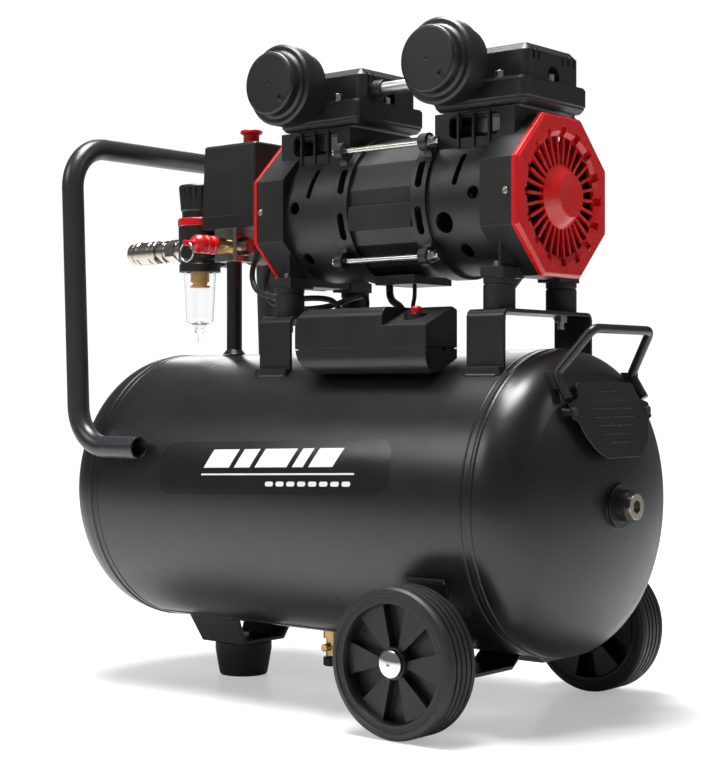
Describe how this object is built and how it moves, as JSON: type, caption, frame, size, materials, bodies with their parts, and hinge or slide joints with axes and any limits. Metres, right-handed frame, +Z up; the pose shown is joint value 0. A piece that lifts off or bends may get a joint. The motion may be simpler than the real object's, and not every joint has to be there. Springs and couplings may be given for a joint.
{
  "type": "twin-cylinder air compressor",
  "caption": "Oil-free air compressor with a motor-driven piston pump on a horizontal receiver, with pressure switch, regulator, push handle and wheels.",
  "frame": {"origin": "on the floor, under the middle of the whole machine's box", "axes": "+X to the wheel end, +Z up, -Y to the side with the intake filters"},
  "size_m": [0.57, 0.316, 0.5665],
  "materials": {
    "tank_paint": "satin black powder coat",
    "frame_paint": "satin black powder coat over bent sheet",
    "handle_paint": "satin dark grey powder coat",
    "case_black": "semi-matt black paint on die-cast aluminium",
    "black_plastic": "fine-grained moulded black",
    "red_plastic": "semi-gloss moulded red",
    "nickel": "nickel plated, light turning marks",
    "chrome": "bright chrome",
    "zinc": "zinc plated",
    "steel": "machined steel",
    "aluminium": "as cast",
    "brass": "machined brass",
    "bronze": "sintered bronze",
    "copper": "varnished winding wire",
    "rubber": "moulded rubber",
    "tyre": "moulded tyre rubber",
    "cable": "smooth black sheath",
    "hose": "braided heat-resistant hose, black cover",
    "clear_plastic": "clear moulded polycarbonate",
    "dial_white": "printed dial",
    "plate_black": "satin black stamped plate"
  },
  "bodies": {
    "frame": {"tank_shell": "tank_paint", "tank_head_left": "tank_paint", "tank_head_right": "tank_paint", "inspection_plug": "nickel", "drain_valve_body": "brass", "rating_plate": "plate_black", "foot_bracket": "frame_paint", "rubber_foot": "rubber", "wheel_bracket": "frame_paint", "axle_bolts": "chrome", "push_handle": "handle_paint", "lifting_handle": "frame_paint", "motor_brackets": "frame_paint", "rubber_mounts": "rubber", "crankcase_left": "case_black", "crankcase_right": "case_black", "stator_shell": "case_black", "stator_core": "copper", "shaft_bearings": "steel", "fan_covers": "red_plastic", "tie_rods": "zinc", "cylinder_sleeves": "aluminium", "cylinder_heads": "case_black", "head_covers": "case_black", "intake_filters": "black_plastic", "transfer_pipe": "aluminium", "riser_pipe": "frame_paint", "manifold": "nickel", "switch_base": "black_plastic", "switch_cover": "black_plastic", "regulator_body": "black_plastic", "regulator_ring": "red_plastic", "filter_bowl": "clear_plastic", "filter_element": "bronze", "coupler_body": "nickel", "safety_valve_body": "brass", "gauge_cases": "black_plastic", "gauge_dials": "dial_white", "check_valve": "brass", "discharge_hose": "hose", "capacitor_case": "black_plastic", "motor_cables": "cable", "fasteners": "zinc"},
    "wheel_front": {"wheel_rim_front": "black_plastic", "tyre_front": "tyre"},
    "wheel_rear": {"wheel_rim_rear": "black_plastic", "tyre_rear": "tyre"},
    "rotor": {"motor_shaft": "steel", "cooling_fans": "black_plastic"},
    "piston_left": {"piston_left": "aluminium"},
    "piston_right": {"piston_right": "aluminium"},
    "power_knob": {"switch_knob": "red_plastic"},
    "pressure_knob": {"regulator_knob": "black_plastic"},
    "tank_needle": {"gauge_needle_tank": "red_plastic"},
    "outlet_needle": {"gauge_needle_outlet": "red_plastic"},
    "relief_cap": {"safety_valve_cap": "red_plastic"},
    "relief_ring": {"safety_ring": "zinc"},
    "outlet_sleeve": {"coupler_sleeve": "nickel"},
    "drain_screw": {"drain_knob": "black_plastic"},
    "reset_button": {"reset_button": "red_plastic"}
  },
  "joints": [
    {"name": "wheel_front_spin", "type": "hinge", "parent": "frame", "child": "wheel_front", "pos_m": [0.161, -0.1395, 0.0587], "axis": [0, 1, 0], "continuous": true},
    {"name": "wheel_rear_spin", "type": "hinge", "parent": "frame", "child": "wheel_rear", "pos_m": [0.161, 0.1395, 0.0587], "axis": [0, 1, 0], "continuous": true},
    {"name": "rotor_spin", "type": "hinge", "parent": "frame", "child": "rotor", "pos_m": [0.074, 0, 0.4247], "axis": [1, 0, 0], "continuous": true},
    {"name": "piston_left_stroke", "type": "slide", "parent": "frame", "child": "piston_left", "axis": [0, 0, 1], "range_m": [-0.008, 0.008]},
    {"name": "piston_right_stroke", "type": "slide", "parent": "frame", "child": "piston_right", "axis": [0, 0, 1], "range_m": [-0.008, 0.008]},
    {"name": "power_knob_press", "type": "slide", "parent": "frame", "child": "power_knob", "axis": [0, 0, 1], "range_m": [-0.008, 0]},
    {"name": "pressure_knob_turn", "type": "hinge", "parent": "frame", "child": "pressure_knob", "pos_m": [-0.1925, -0.008, 0.44], "axis": [0, 0, 1], "range_deg": [-360, 360]},
    {"name": "tank_needle_turn", "type": "hinge", "parent": "frame", "child": "tank_needle", "pos_m": [-0.1465, 0.0298, 0.4023], "axis": [0, -1, 0], "range_deg": [0, 270]},
    {"name": "outlet_needle_turn", "type": "hinge", "parent": "frame", "child": "outlet_needle", "pos_m": [-0.1925, 0.0298, 0.4023], "axis": [0, -1, 0], "range_deg": [0, 270]},
    {"name": "relief_cap_pull", "type": "slide", "parent": "frame", "child": "relief_cap", "axis": [0, -1, 0], "range_m": [0, 0.003], "stiffness_N_per_m": 1500, "springref_m": -0.008},
    {"name": "relief_ring_swing", "type": "hinge", "parent": "relief_cap", "child": "relief_ring", "pos_m": [-0.142, -0.075, 0.402], "axis": [1, 0, 0], "range_deg": [-95, 45]},
    {"name": "outlet_sleeve_pull", "type": "slide", "parent": "frame", "child": "outlet_sleeve", "axis": [1, 0, 0], "range_m": [0, 0.005], "stiffness_N_per_m": 1200, "springref_m": -0.008},
    {"name": "drain_screw_turn", "type": "hinge", "parent": "frame", "child": "drain_screw", "pos_m": [-0.03, 0, 0.024], "axis": [0, 0, 1], "range_deg": [0, 360]},
    {"name": "reset_button_press", "type": "slide", "parent": "frame", "child": "reset_button", "axis": [0, 0, 1], "range_m": [-0.003, 0], "stiffness_N_per_m": 800, "springref_m": 0.004}
  ]
}
